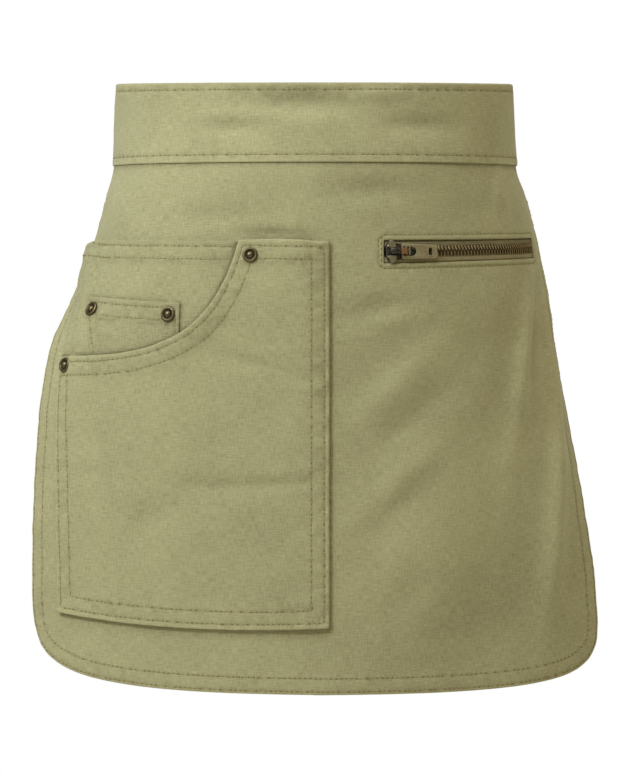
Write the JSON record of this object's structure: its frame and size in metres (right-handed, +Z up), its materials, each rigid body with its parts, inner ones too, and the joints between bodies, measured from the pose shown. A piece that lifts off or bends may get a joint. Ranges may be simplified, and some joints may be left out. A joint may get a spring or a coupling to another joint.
{
  "type": "half waist apron",
  "caption": "Short twill waist apron in its worn shape: tall waistband, round-cornered panel, riveted patch pocket with coin pocket, and a zip pocket.",
  "frame": {"origin": "centre of the waist opening, halfway up the waistband", "axes": "+Z up along the wearer's waist; the front of the apron faces -Y and the zip is on the +X side"},
  "size_m": [0.3342, 0.2221, 0.3634],
  "materials": {
    "twill": "khaki green cotton twill",
    "pocketing": "plain light cotton",
    "zip_tape": "olive woven tape",
    "antique_brass": "dark antique brass"
  },
  "bodies": {
    "apron": {"waistband": "twill", "panel": "twill", "pocket_back": "twill", "pocket_front": "twill", "coin_pocket": "twill", "zip_pocket_bag": "pocketing", "zip_tape_upper": "zip_tape", "zip_tape_lower": "zip_tape", "zip_teeth_upper": "antique_brass", "zip_teeth_lower": "antique_brass", "zip_slider": "antique_brass", "rivet_mouth_top": "antique_brass", "rivet_mouth_side": "antique_brass", "rivet_coin_left": "antique_brass", "rivet_coin_right": "antique_brass", "back_button": "antique_brass"},
    "pull": {"zip_pull": "antique_brass"}
  },
  "joints": [
    {"name": "pull_swing", "type": "hinge", "parent": "apron", "child": "pull", "pos_m": [0.05108, -0.09435, -0.07565], "axis": [0.0506, -0.1457, -0.988], "range_deg": [0, 160]}
  ]
}
